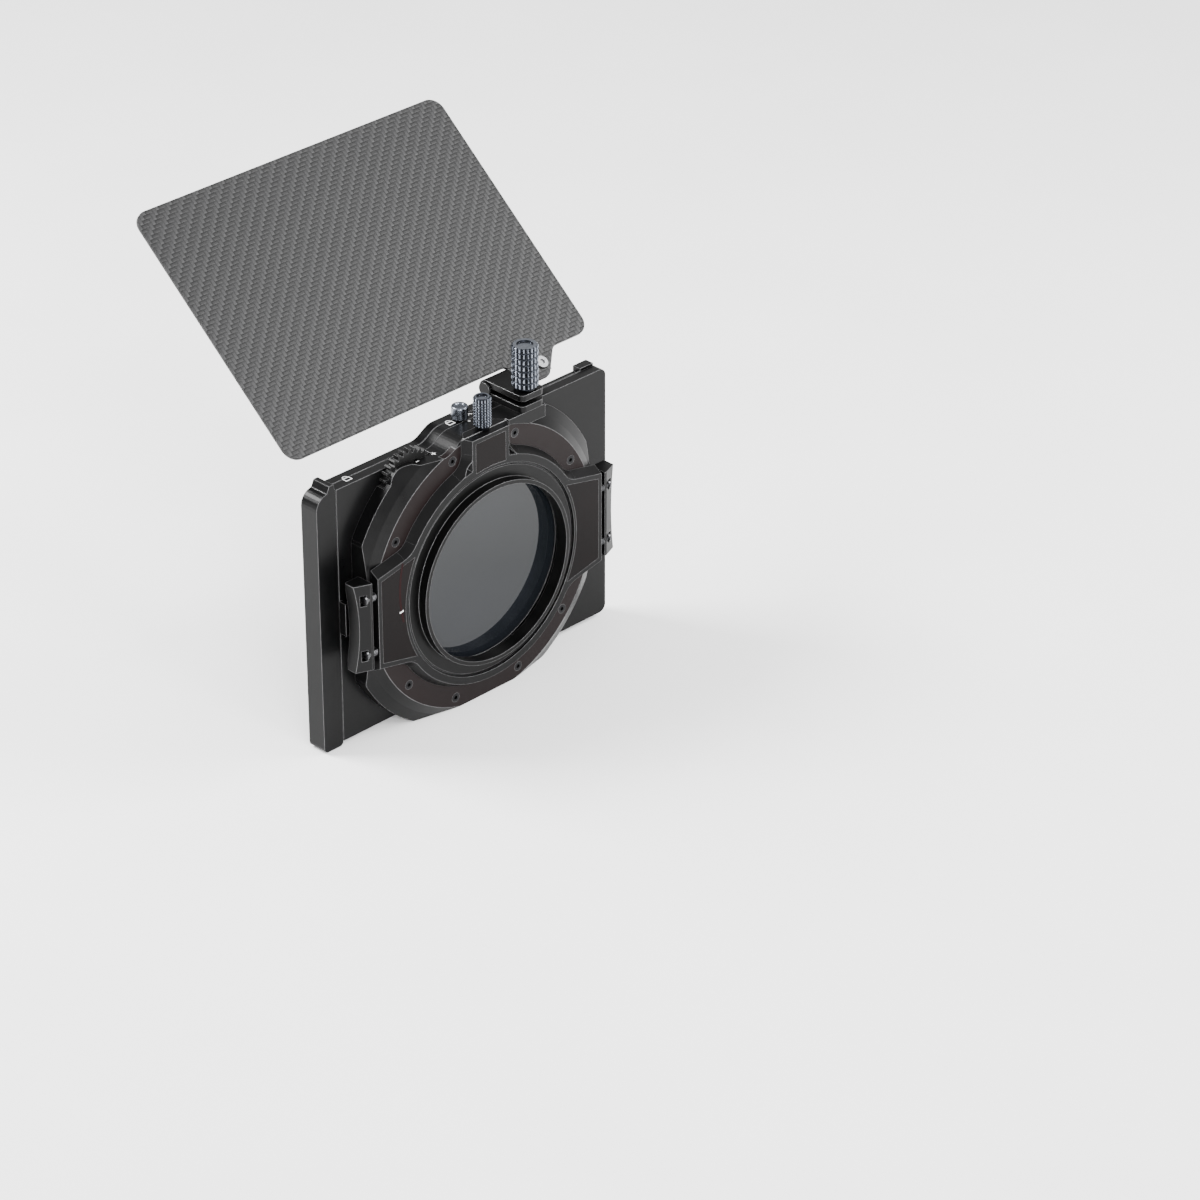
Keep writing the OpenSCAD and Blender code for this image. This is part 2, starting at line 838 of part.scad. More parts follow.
module top_inlay_outline() {
    half = top_arm_half - bevel_w - inlay_border;
    difference() {
        translate([-half, arm_root])
        square([2 * half, top_arm_z - top_bevel - inlay_border - arm_root]);
        circle(inlay_inner_r);
    }
}

module adapter_frame() {
    color([0.17, 0.17, 0.18])
    difference() {
        union() {
            bar_y(rim_r - bevel_w, 0, y_cover, 0, 0, rim_r);
            for (side = [0, 1])
                mirror([side, 0, 0]) {
                    side_arm();
                    for (s = [-1, 1])
                        corner_fillet([arm_reach, s * arm_end_half],
                                      [-cos(arm_slope), s * sin(arm_slope)],
                                      [sin(arm_slope), s * cos(arm_slope)]);
                }
            top_arm();
            translate([0, 0, notch_floor + slide_gap])
            linear_extrude(top_arm_z - notch_floor - slide_gap)
            tongue_plan(0, y_cover - 1);
            for (side = [0, 1])
                mirror([side, 0, 0])
                corner_fillet([top_arm_half, top_arm_z - arm_corner], [0, -1], [1, 0]);
        }
        bar_y(rim_inner, -1, y_cover + 1);
        for (side = [0, 1])
            mirror([side, 0, 0]) {
                slab(-1, inlay_t) side_inlay_outline();
                for (s = [-1, 1])
                    translate([arm_reach - pin_embed, pin_y, s * pin_z])
                    rotate([0, 90, 0])
                    cylinder(r = pin_r, h = far);
            }
        slab(-1, inlay_t) top_inlay_outline();
        translate([0, adapter_lock_y, notch_floor]) cylinder(r = stud_r + run_gap, h = far);
    }
}

module adapter_ring() {
    color([0.1, 0.1, 0.11])
    turned()
    polygon([[ring_bore_r, ring_recess - thread_len], [thread_r, ring_recess - thread_len],
             [thread_r, ring_recess], [ring_r - 1.2, ring_recess],
             [ring_r - 0.8, ring_recess + 0.4], [ring_r, ring_recess + 0.4],
             [ring_r, ring_recess + ring_flange], [ring_bore_r + 2, ring_recess + ring_flange],
             [ring_bore_r, ring_recess + ring_flange - 1.2]]);
}

module left_inlay() {
    color([0.03, 0.03, 0.03])
    mirror([1, 0, 0])
    slab(0, inlay_t) side_inlay_outline();
}

module right_inlay() {
    color([0.03, 0.03, 0.03])
    slab(0, inlay_t) side_inlay_outline();
}

module top_inlay() {
    color([0.03, 0.03, 0.03])
    slab(0, inlay_t) top_inlay_outline();
}

// A knurled knob: upright flutes crossed by ring grooves
module knurled_knob(r, h, flutes, rows) {
    groove_d = 0.09 * r;
    proud = r + groove_d;
    pitch = (h - 3.2) / rows;
    intersection() {
        linear_extrude(h)
        polygon([for (i = [0:2 * flutes - 1])
            let (a = i * 180 / flutes, q = r - (i % 2) * 1.5 * groove_d)
            [q * cos(a), q * sin(a)]]);
        rotate_extrude()
        polygon(concat(
            [[0, 0], [r * 0.78, 0], [r * 0.86, 1.2]],
            [for (i = [0:rows - 1], k = [0:3])
                [(k == 0 || k == 3) ? r - 1.7 * groove_d : proud,
                 1.2 + pitch * (i + [0.06, 0.38, 0.62, 0.94][k])]],
            [[r - 1.7 * groove_d, h - 1.9], [proud, h - 1.5], [proud, h - 0.8], [r - 0.6, h], [r * 0.62, h],
             [r * 0.55, h - 0.7], [0, h - 0.7]]));
    }
}

module adapter_lock_knob() {
    base = top_arm_z + 0.2;
    tip = notch_floor + slide_gap + 0.3;
    color([0.3, 0.32, 0.36])
    translate([0, adapter_lock_y, 0]) {
        translate([0, 0, base]) knurled_knob(lock_knob_r, lock_knob_h, 16, 9);
        translate([0, 0, tip]) cylinder(r = stud_r, h = base - tip + eps);
    }
}

module flag_clamp_knob() {
    base = bracket_top + 0.1;
    tip = z_hump - 4.2;
    color([0.3, 0.32, 0.36])
    translate([clamp_x, clamp_y, 0]) {
        translate([0, 0, base]) knurled_knob(clamp_knob_r, clamp_knob_h, 18, 6);
        translate([0, 0, tip]) cylinder(r = stud_r, h = base - tip + eps);
    }
}

// The right-hand latch; the left one is its mirror image.
// Its rear face slopes, a finger hollow is cut into its side, and pockets take the pin heads.
module latch() {
    difference() {
        translate([0, 0, -latch_half])
        linear_extrude(2 * latch_half)
        polygon([[block_x0, latch_y0], [block_x0 + 1, latch_y0], [latch_reach, latch_slope_y],
                 [latch_reach, latch_y1 - 0.6], [latch_reach - 0.6, latch_y1],
                 [block_x0, latch_y1]]);
        bar_y(dish_r, -1, far, latch_reach - finger_dish + dish_r, $fn = 900);
        for (s = [-1, 1])
            translate([0, 0, s * pin_z]) {
                translate([block_x0 - 1, pin_y, 0])
                rotate([0, 90, 0])
                cylinder(r = pin_r + run_gap, h = block_x1 - block_x0 + 2);
                block([block_x1, -1, -pocket_half],
                      [block_x1 + pocket_w, pin_y + pocket_half, pocket_half]);
            }
    }
    block([block_x0, latch_y1 - eps, -hook_half], [block_x0 + hook_t, hook_front, hook_half]);
    block([block_x0, hook_front - nose_t, -hook_half],
          [block_x0 + hook_t + nose_w, hook_front, hook_half]);
}

module left_latch() {
    color([0.12, 0.12, 0.13])
    mirror([1, 0, 0])
    latch();
}

module right_latch() {
    color([0.12, 0.12, 0.13])
    latch();
}

module latch_pins() {
    color([0.7, 0.7, 0.72])
    for (side = [0, 1], s = [-1, 1])
        mirror([side, 0, 0])
        translate([arm_reach - pin_embed, pin_y, s * pin_z])
        rotate([0, 90, 0]) {
            cylinder(r = pin_r, h = block_x1 + 0.1 + pin_head_t - arm_reach + pin_embed);
            translate([0, 0, block_x1 + 0.1 - arm_reach + pin_embed])
            cylinder(r = pin_head_r, h = pin_head_t);
        }
}

// A coil spring round a guide pin, as one tube swept along its helix
module coil_spring(length) {
    sides = 6;
    steps = 8 * spring_turns;
    travel = length - 2 * spring_wire_r - 0.1;
    ring = [for (i = [0:steps], j = [0:sides - 1])
        let (t = i / steps, a = 360 * spring_turns * t, b = 360 * j / sides,
             r = spring_r + spring_wire_r * cos(b))
        [r * cos(a), r * sin(a), 0.05 + spring_wire_r + travel * t + spring_wire_r * sin(b)]];
    walls = [for (i = [0:steps - 1], j = [0:sides - 1])
        let (k = (j + 1) % sides, p = i * sides, q = p + sides)
        each [[p + j, q + j, p + k], [p + k, q + j, q + k]]];
    first = [for (j = [1:sides - 2]) [0, j, j + 1]];
    last = [for (j = [1:sides - 2]) [steps * sides, steps * sides + j + 1, steps * sides + j]];
    polyhedron(ring, concat(walls, first, last));
}

module latch_springs() {
    for (s = [-1, 1])
        translate([arm_reach, pin_y, s * pin_z])
        rotate([0, 90, 0])
        coil_spring(block_x0 - arm_reach);
}

module left_latch_springs() {
    color([0.75, 0.75, 0.77])
    mirror([1, 0, 0])
    latch_springs();
}

module right_latch_springs() {
    color([0.75, 0.75, 0.77])
    latch_springs();
}

// The bracket is one split clamp: the slot runs into the bore of its hinge barrel
module flag_bracket() {
    color([0.12, 0.12, 0.13])
    difference() {
        intersection() {
            translate([bracket_x, 0, 0])
            rotate([90, 0, 90])
            linear_extrude(bracket_w)
            union() {
                translate([hinge_y, hinge_z]) circle(barrel_r);
                translate([bracket_rear, z_hump])
                square([bracket_back, bracket_top - z_hump]);
            }
            linear_extrude(far)
            union() {
                translate([bracket_x, bracket_rear + bracket_r]) square([bracket_w, far]);
                translate([bracket_x + bracket_r, bracket_rear])
                square([bracket_w - 2 * bracket_r, far]);
                for (x = [bracket_x + bracket_r, bracket_right - bracket_r])
                    translate([x, bracket_rear + bracket_r]) circle(bracket_r);
            }
        }
        translate([bracket_x - 1, hinge_y, hinge_z])
        rotate([0, 90, 0])
        cylinder(r = shaft_r + run_gap, h = bracket_w + 2);
        block([bracket_x - 1, bracket_rear - 1, hinge_z - slot_h / 2],
              [bracket_right + 1, hinge_y, hinge_z + slot_h / 2]);
        translate([clamp_x, clamp_y, 0]) cylinder(r = stud_r + run_gap, h = far);
    }
}

// Places a piece drawn flat (X across, Y away from the hinge, Z up) at the flag's tilt
module at_flag() {
    translate([0, hinge_y, hinge_z])
    rotate([flag_tilt, 0, 0])
    children();
}

module along_x(r, x0, x1) {
    translate([x0, 0, 0])
    rotate([0, 90, 0])
    cylinder(r = r, h = x1 - x0);
}

module at_flag_screws() {
    for (s = [-1, 1])
        translate([flag_screw_x + s * flag_screw_pitch / 2, 0, 0])
        children();
}

module flag_screw() {
    translate([0, 0, flat_h - 2.6]) cylinder(r = flag_screw_r, h = 2.6 + flag_t);
    translate([0, 0, flat_h + flag_t]) cylinder(r = flag_head_r, h = flag_head_t);
}

module flag_arm() {
    color([0.12, 0.12, 0.13])
    at_flag()
    difference() {
        union() {
            along_x(shaft_r, bracket_x - 0.2, arm_left + eps);
            along_x(block_r, arm_left, arm_right);
            along_x(shaft_cap_r, bracket_x - 0.2 - shaft_cap_t, bracket_x - 0.2 + eps);
        }
        block([tab_x - 0.3, -10, flat_h], [arm_right + 1, 10, 10]);
        at_flag_screws() flag_screw();
    }
}

// Outline of the flag with its fixing tab, from the hinge axis
module flag_outline() {
    far_edge = flag_gap + flag_d;
    translate([0, flag_gap + flag_d / 2]) round_rect(flag_w, flag_d, flag_r);
    translate([tab_x, -tab_back + tab_r]) square([tab_w, tab_back + flag_gap]);
    translate([tab_x + tab_r, -tab_back]) square([tab_w - 2 * tab_r, tab_back]);
    for (x = [tab_x + tab_r, tab_x + tab_w - tab_r])
        translate([x, -tab_back + tab_r]) circle(tab_r);
    difference() {
        translate([tab_x - notch_r, flag_gap - notch_r])
        square([tab_w + 2 * notch_r, notch_r + 1]);
        for (x = [tab_x - notch_r, tab_x + tab_w + notch_r])
            translate([x, flag_gap - notch_r]) circle(notch_r);
    }
}

module flag_sheet() {
    color([0.35, 0.35, 0.36])
    at_flag()
    difference() {
        translate([0, 0, flat_h]) linear_extrude(flag_t) flag_outline();
        at_flag_screws() flag_screw();
    }
}

module flag_screws() {
    color([0.8, 0.8, 0.82])
    at_flag()
    at_flag_screws()
    difference() {
        flag_screw();
        translate([0, 0, flat_h + flag_t + 0.2]) cylinder(r = 1.2, h = flag_head_t, $fn = 6);
    }
}

tray_housing_rear();
tray_housing_front();
housing_screws();
filter_tray();
tray_handle();
tray_lock_knob();
stage_body();
stage_cover();
cover_screws();
fixed_glass();
fixed_glass_retainer();
filter_ring();
turning_glass();
turning_glass_retainer();
thumb_wheel();
wheel_axle();
adapter_frame();
adapter_ring();
left_inlay();
top_inlay();
right_inlay();
adapter_lock_knob();
left_latch();
right_latch();
latch_pins();
left_latch_springs();
right_latch_springs();
flag_bracket();
flag_clamp_knob();
flag_arm();
flag_sheet();
flag_screws();
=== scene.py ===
import json
import math
import bpy
import bmesh
from mathutils import Vector, Matrix


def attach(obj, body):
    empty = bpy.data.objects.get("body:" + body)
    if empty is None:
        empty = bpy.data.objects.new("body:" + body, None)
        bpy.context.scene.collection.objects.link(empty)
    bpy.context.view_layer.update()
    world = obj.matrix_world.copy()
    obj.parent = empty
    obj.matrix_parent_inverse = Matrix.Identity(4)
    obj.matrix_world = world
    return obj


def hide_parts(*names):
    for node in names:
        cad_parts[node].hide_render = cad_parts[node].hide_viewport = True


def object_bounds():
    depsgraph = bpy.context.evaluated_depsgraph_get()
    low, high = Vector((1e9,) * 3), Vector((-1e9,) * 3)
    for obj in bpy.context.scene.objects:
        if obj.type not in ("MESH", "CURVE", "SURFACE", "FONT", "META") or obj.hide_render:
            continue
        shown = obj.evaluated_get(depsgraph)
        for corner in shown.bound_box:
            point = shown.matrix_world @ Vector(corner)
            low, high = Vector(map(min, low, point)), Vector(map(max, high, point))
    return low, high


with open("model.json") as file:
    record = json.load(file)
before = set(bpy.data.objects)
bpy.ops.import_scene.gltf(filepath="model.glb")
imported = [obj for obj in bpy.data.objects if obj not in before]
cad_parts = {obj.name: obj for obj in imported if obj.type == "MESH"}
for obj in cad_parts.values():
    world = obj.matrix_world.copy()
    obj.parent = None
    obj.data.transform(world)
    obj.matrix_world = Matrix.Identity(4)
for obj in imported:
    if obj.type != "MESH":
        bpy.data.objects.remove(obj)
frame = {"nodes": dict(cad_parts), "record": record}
nodes = frame["nodes"]
cad_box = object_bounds()
MM = 0.001

# The view of the photograph, in metres, millimetres and degrees
CAMERA_AT = (-1.0753, -1.1340, 0.8885)
CAMERA_AZIMUTH, CAMERA_ELEVATION = -45, 30
CAMERA_LENS, CAMERA_SENSOR = 139.5, 36

# The softboxes: name, direction from the part, distance, width, height (m) and power (W)
SOFTBOXES = (
    ("key_right", (0.62, -0.45, 0.66), 1.1, 0.5, 0.5, 14),
    ("key_left", (-0.42, 0.61, 0.67), 1.1, 0.5, 0.5, 32),
    ("front_left", (-0.42, -0.79, 0.45), 2.2, 0.7, 0.7, 45),
    ("front_top", (-0.05, -0.71, 0.65), 1.6, 0.35, 0.35, 14),
    ("front_low", (-0.60, -0.77, 0.12), 2.0, 0.6, 0.28, 26),
)
SOFTBOX_TARGET = (0, 0, 0.02)
SKY_STRENGTH = 1.15
FLOOR_HALF = 6.0
FLOOR_GAP = 0.0002

# The carbon flag in the hinge's own frame, in mm
FLAG_HALF_W, FLAG_GAP, FLAG_DEPTH, FLAG_CORNER = 78.5, 4.4, 112.8, 6.0
FLAG_LOW, FLAG_HIGH = 0.3, 1.7
TAB_LEFT, TAB_BEND, TAB_BACK, TAB_CORNER = 33.1, 46.6, -6.0, 4.6
TAB_NOTCH = 2.2
FLARE_CORNER, FLARE_RUN = 5.0, 7.0
FLAG_SCREWS, FLAG_SCREW_R = (37.4, 48.4), 2.52
# Its hinge in the part's frame and the rounding of its edges in metres, its tilt in degrees
FLAG_HINGE = (0, 0.023, 0.0631)
FLAG_EDGE_ROUND = 0.00018
FLAG_TILT = 40

# Heights of the surfaces that carry signs, and how thick the print, the red arc and its tick are, in
# mm
HOUSING_TOP, HUMP_TOP = 55.0, 59.4
PRINT = 0.03
RED_ARC_THICK, TICK_THICK = 0.02, 0.04

# A thin dark red arc on the left inlay and a tick across it, seen from the rear, in mm and degrees
RED_ARC_X, RED_ARC_Z, RED_ARC_R = 0.4, 8.5, 48.9
RED_ARC_HALF_W = 0.5
RED_ARC_FROM, RED_ARC_TO, RED_ARC_TICK = 164.5, 195, 189


# ---------------------------------------------------------------- camera
def make_camera():
    data = bpy.data.cameras.new("camera")
    cam = bpy.data.objects.new("camera", data)
    bpy.context.scene.collection.objects.link(cam)
    data.sensor_width = CAMERA_SENSOR
    data.lens = CAMERA_LENS
    data.clip_start, data.clip_end = 0.05, 30
    cam.location = CAMERA_AT
    az, el = math.radians(CAMERA_AZIMUTH), math.radians(CAMERA_ELEVATION)
    back = Vector((math.sin(az) * math.cos(el), -math.cos(az) * math.cos(el), math.sin(el)))
    cam.rotation_euler = back.to_track_quat("Z", "Y").to_euler()
    bpy.context.scene.camera = cam


# ---------------------------------------------------------------- studio
def softbox(name, towards, distance, width, height, power):
    data = bpy.data.lights.new(name, "AREA")
    data.shape = "RECTANGLE"
    data.size = width
    data.size_y = height
    data.energy = power
    lamp = bpy.data.objects.new(name, data)
    bpy.context.scene.collection.objects.link(lamp)
    d = Vector(towards).normalized()
    lamp.location = Vector(SOFTBOX_TARGET) + d * distance
    lamp.rotation_euler = d.to_track_quat("Z", "Y").to_euler()


def make_sky():
    world = bpy.data.worlds.new("studio")
    world.use_nodes = True
    sky = world.node_tree.nodes["Background"]
    sky.inputs["Color"].default_value = (1, 1, 1, 1)
    sky.inputs["Strength"].default_value = SKY_STRENGTH
    bpy.context.scene.world = world


def make_floor():
    bm = bmesh.new()
    low = cad_box[0].z - FLOOR_GAP
    for x, y in ((-1, -1), (1, -1), (1, 1), (-1, 1)):
        bm.verts.new((x * FLOOR_HALF, y * FLOOR_HALF, low))
    bm.faces.new(bm.verts)
    me = bpy.data.meshes.new("floor")
    bm.to_mesh(me)
    bm.free()
    floor = bpy.data.objects.new("floor", me)
    bpy.context.scene.collection.objects.link(floor)
    g = Graph("floor_paper")
    paper = g.noise(12, 3)
    g.set("Base Color", g.ramp(paper, [(0.3, (0.89, 0.89, 0.89)), (0.7, (0.92, 0.92, 0.92))]))
    g.set("Roughness", 0.9)
    g.set("Specular IOR Level", 0.1)
    me.materials.append(g.mat)


def make_studio():
    make_sky()
    for box in SOFTBOXES:
        softbox(*box)
    make_floor()


# ---------------------------------------------------------------- node helpers
class Graph:
    """A small writer for one procedural material."""

    def __init__(self, name):
        self.mat = bpy.data.materials.new(name)
        self.mat.use_nodes = True
        self.tree = self.mat.node_tree
        self.bsdf = self.tree.nodes["Principled BSDF"]
        self.coord = self.tree.nodes.new("ShaderNodeTexCoord").outputs["Object"]

    def new(self, kind):
        return self.tree.nodes.new(kind)

    def plug(self, socket, value):
        """Link an output to the socket, or set its value; three numbers also fill a colour."""
        if isinstance(value, bpy.types.NodeSocket):
            self.tree.links.new(value, socket)
        elif isinstance(value, (tuple, list)) and len(value) == 3 and len(socket.default_value) == 4:
            socket.default_value = (*value, 1)
        else:
            socket.default_value = value

    def set(self, name, value):
        self.plug(self.bsdf.inputs[name], value)

    def math(self, op, a, b=None, clamp=False):
        n = self.new("ShaderNodeMath")
        n.operation = op
        n.use_clamp = clamp
        for i, v in enumerate((a, b)):
            if v is not None:
                self.plug(n.inputs[i], v)
        return n.outputs[0]

    def noise(self, scale, detail=2, rough=0.5):
        """Noise with its scale in cycles per metre."""
        n = self.new("ShaderNodeTexNoise")
        self.plug(n.inputs["Vector"], self.coord)
        n.inputs["Scale"].default_value = scale
        n.inputs["Detail"].default_value = detail
        n.inputs["Roughness"].default_value = rough
        return n.outputs["Fac"]

    def ramp(self, fac, stops):
        """A colour ramp through stops of (position, grey or colour)."""
        n = self.new("ShaderNodeValToRGB")
        self.plug(n.inputs[0], fac)
        el = n.color_ramp.elements
        while len(el) < len(stops):
            el.new(0.5)
        for e, (p, c) in zip(el, stops):
            e.position = p
            e.color = (*c, 1) if isinstance(c, (tuple, list)) else (c, c, c, 1)
        return n.outputs["Color"]

    def range(self, value, a, b, c, d):
        """The value with a to b mapped on c to d, and held at both ends."""
        n = self.new("ShaderNodeMapRange")
        self.plug(n.inputs["Value"], value)
        for k, v in (("From Min", a), ("From Max", b), ("To Min", c), ("To Max", d)):
            self.plug(n.inputs[k], v)
        return n.outputs["Result"]

    def mix(self, fac, a, b):
        n = self.new("ShaderNodeMix")
        n.data_type = "RGBA"
        self.plug(n.inputs["Factor"], fac)
        self.plug(n.inputs["A"], a)
        self.plug(n.inputs["B"], b)
        return n.outputs["Result"]

    def multiply(self, a, b):
        n = self.new("ShaderNodeMix")
        n.data_type = "RGBA"
        n.blend_type = "MULTIPLY"
        n.inputs["Factor"].default_value = 1.0
        self.plug(n.inputs["A"], a)
        self.plug(n.inputs["B"], b)
        return n.outputs["Result"]

    def bump(self, height, distance, strength, normal=None):
        n = self.new("ShaderNodeBump")
        self.plug(n.inputs["Height"], height)
        n.inputs["Distance"].default_value = distance
        n.inputs["Strength"].default_value = strength
        if normal:
            self.plug(n.inputs["Normal"], normal)
        return n.outputs["Normal"]

    def edges(self, radius):
        """Rounded normal from the Bevel node, and a mask that is 1 where the edges turn."""
        bevel = self.new("ShaderNodeBevel")
        bevel.samples = 6
        bevel.inputs["Radius"].default_value = radius
        flat = self.new("ShaderNodeNewGeometry").outputs["Normal"]
        dot = self.new("ShaderNodeVectorMath")
        dot.operation = "DOT_PRODUCT"
        self.plug(dot.inputs[0], bevel.outputs[0])
        self.plug(dot.inputs[1], flat)
        # cosines of the turn at which the mask begins and is full
        return bevel.outputs[0], self.range(dot.outputs["Value"], 0.995, 0.93, 0.0, 1.0)

    def split(self, vector=None):
        n = self.new("ShaderNodeSeparateXYZ")
        self.plug(n.inputs[0], vector or self.coord)
        return n.outputs


# ---------------------------------------------------------------- materials
def anodised(name, dark, light, rough=0.31, edge=0.00034):
    """Bead-blasted and anodised aluminium: fine grain and cloudy dye, with a painted highlight along
    every edge, coloured as lighter bare metal.
    """
    # The light grey of the painted highlight along the edges
    edge_highlight_grey = 0.20
    g = Graph(name)
    cloud = g.noise(45, 4, 0.6)
    speck = g.noise(5200, 2, 0.6)
    base = g.ramp(cloud, [(0.25, dark), (0.75, light)])
    fleck = g.ramp(speck, [(0.30, 0.82), (0.72, 1.18)])
    dyed = g.multiply(base, fleck)
    rounded, edges = g.edges(edge)
    # Where the edges turn, the colour goes to light bare grey and turns metallic: a painted
    # highlight, varied in patches
    patchy = g.range(g.noise(260, 3, 0.6), 0.3, 0.7, 0.42, 0.70)
    edge_highlight_mask = g.math("MULTIPLY", edges, patchy, clamp=True)
    g.set("Base Color", g.mix(edge_highlight_mask, dyed, (edge_highlight_grey, edge_highlight_grey, edge_highlight_grey * 1.02)))
    g.set("Metallic", edge_highlight_mask)
    wear = g.noise(90, 5, 0.65)
    dull = g.range(wear, 0.25, 0.75, rough - 0.05, rough + 0.07)
    g.set("Roughness", g.range(edge_highlight_mask, 0, 1, dull, 0.34))
    g.set("Specular IOR Level", 0.12)
    fine = g.noise(3600, 3, 0.65)
    g.set("Normal", g.bump(fine, 0.00001, 0.9, rounded))
    return g.mat


def carbon_twill():
    """2x2 twill along the flag's own axes: rounded tows that dive under each other."""
    tow = 0.00165
    # Warp tows are coloured lighter than weft tows: painted sheen, for the way light falls
    # differently along each fibre direction
    warp_lit_tone, weft_shaded_tone = (0.017, 0.017, 0.0175), (0.006, 0.006, 0.0062)
    g = Graph("carbon_twill")
    x, y = g.split()[:2]
    u = g.math("DIVIDE", x, tow)
    v = g.math("DIVIDE", y, tow)
    iu, iv = g.math("FLOOR", u), g.math("FLOOR", v)
    fu, fv = g.math("FRACT", u), g.math("FRACT", v)
    phase = g.math("FLOORED_MODULO", g.math("SUBTRACT", iu, iv), 4.0)
    warp = g.math("LESS_THAN", phase, 1.5)
    # position across the tow on top and along its float, both -1 to 1
    across = g.mix(warp, fv, fu)
    along_w = g.math("DIVIDE", g.math("ADD", g.math("SUBTRACT", 1.0, phase), fv), 2.0)
    along_f = g.math("DIVIDE", g.math("ADD", g.math("SUBTRACT", phase, 2.0), fu), 2.0)
    along = g.mix(warp, along_f, along_w)
    a = g.math("SUBTRACT", g.math("MULTIPLY", across, 2.0), 1.0)
    b = g.math("SUBTRACT", g.math("MULTIPLY", along, 2.0), 1.0)
    back = g.math("SUBTRACT", 1.0, g.math("POWER", g.math("ABSOLUTE", a), 3.0))
    dive = g.math("SUBTRACT", 1.0, g.math("POWER", g.math("ABSOLUTE", b), 4.0))
    height = g.math("MULTIPLY", g.math("POWER", g.math("MAXIMUM", back, 0.0), 0.6), dive)
    gap = g.ramp(height, [(0.02, 0.30), (0.30, 0.95), (1.0, 1.0)])
    # side carries the painted sheen of the warp and weft tones
    side = g.mix(warp, weft_shaded_tone, warp_lit_tone)
    cloud = g.noise(900, 3, 0.7)
    tone = g.ramp(cloud, [(0.25, 0.80), (0.75, 1.16)])
    g.set("Base Color", g.multiply(g.multiply(side, gap), tone))
    g.set("Roughness", g.range(cloud, 0.3, 0.7, 0.42, 0.52))
    g.set("Specular IOR Level", 0.30)
    g.set("Normal", g.bump(height, 0.00016, 0.8))
    return g.mat


def steel(name, colour, rough):
    """Bare or blackened steel with faint clouds and a fine tooth."""
    g = Graph(name)
    g.set("Metallic", 1.0)
    cloud = g.noise(700, 4, 0.6)
    dark = tuple(c * 0.85 for c in colour)
    g.set("Base Color", g.ramp(cloud, [(0.3, dark), (0.7, colour)]))
    g.set("Roughness", g.range(g.noise(2500, 3), 0.3, 0.7, rough - 0.06, rough + 0.08))
    g.set("Normal", g.bump(g.noise(4000, 2), 0.000004, 0.6))
    return g.mat


def knurled_steel(node, deep, shallow):
    """Blue-grey steel whose knurl is polished on its tops, with painted shade in its grooves, which
    are coloured near black.

    deep and shallow are the depths below the outer radius where the painted groove shade ends
    and the steel colour and polish are full.
    """
    corners = [Vector(c) for c in nodes[node].bound_box]
    cx = (min(c.x for c in corners) + max(c.x for c in corners)) / 2
    cy = (min(c.y for c in corners) + max(c.y for c in corners)) / 2
    outer = (max(c.x for c in corners) - min(c.x for c in corners)) / 2
    g = Graph(node + "_steel")
    x, y = g.split()[:2]
    dx, dy = g.math("SUBTRACT", x, cx), g.math("SUBTRACT", y, cy)
    square = g.math("ADD", g.math("MULTIPLY", dx, dx), g.math("MULTIPLY", dy, dy))
    r = g.math("SQRT", square)
    top = g.range(r, outer - deep, outer - shallow, 0.0, 1.0)
    up = g.math("ABSOLUTE", g.split(g.new("ShaderNodeNewGeometry").outputs["Normal"])[2])
    shown = g.math("MAXIMUM", top, g.range(up, 0.75, 0.95, 0.0, 0.7), clamp=True)
    cloud = g.noise(900, 4, 0.6)
    metal = g.ramp(cloud, [(0.3, (0.15, 0.165, 0.195)), (0.7, (0.23, 0.25, 0.29))])
    g.set("Metallic", 1.0)
    # The grooves are coloured near black as painted shade; the tops and the end faces keep the steel
    # colour
    g.set("Base Color", g.mix(shown, (0.010, 0.011, 0.014), metal))
    g.set("Roughness", g.range(shown, 0, 1, 0.45, 0.17))
    g.set("Normal", g.bump(g.noise(4000, 2), 0.000004, 0.6, g.edges(0.00012)[0]))
    return g.mat


def paint(name, dark, light, spec=0.4):
    g = Graph(name)
    g.set("Specular IOR Level", spec)
    g.set("Base Color", g.ramp(g.noise(2500, 3), [(0.3, dark), (0.7, light)]))
    g.set("Roughness", g.range(g.noise(1500, 2), 0.3, 0.7, 0.45, 0.6))
    return g.mat


def gloss_black():
    """The gloss inlays of the adapter's arms, with a trace of red that is a painted reflection of a
    lens's red ring.
    """
    # Both tones carry the red of the painted reflection
    dark, light = (0.0012, 0.0006, 0.0006), (0.0020, 0.0009, 0.0009)
    g = Graph("gloss_panel")
    g.set("Base Color", g.ramp(g.noise(60, 3), [(0.3, dark), (0.7, light)]))
    g.set("Roughness", g.range(g.noise(200, 4, 0.7), 0.3, 0.7, 0.10, 0.17))
    g.set("Specular IOR Level", 0.08)
    g.set("Normal", g.bump(g.noise(150, 2), 0.00001, 0.4))
    return g.mat


def filter_glass():
    """Coated neutral-density glass, drawn as solid dark gloss that lets no light through."""
    dark, light = (0.004, 0.005, 0.006), (0.006, 0.007, 0.009)
    g = Graph("filter_glass")
    g.set("Base Color", g.ramp(g.noise(20, 2), [(0.3, dark), (0.7, light)]))
    g.set("Roughness", g.range(g.noise(300, 3), 0.3, 0.7, 0.03, 0.05))
    g.set("Specular IOR Level", 0.35)
    return g.mat


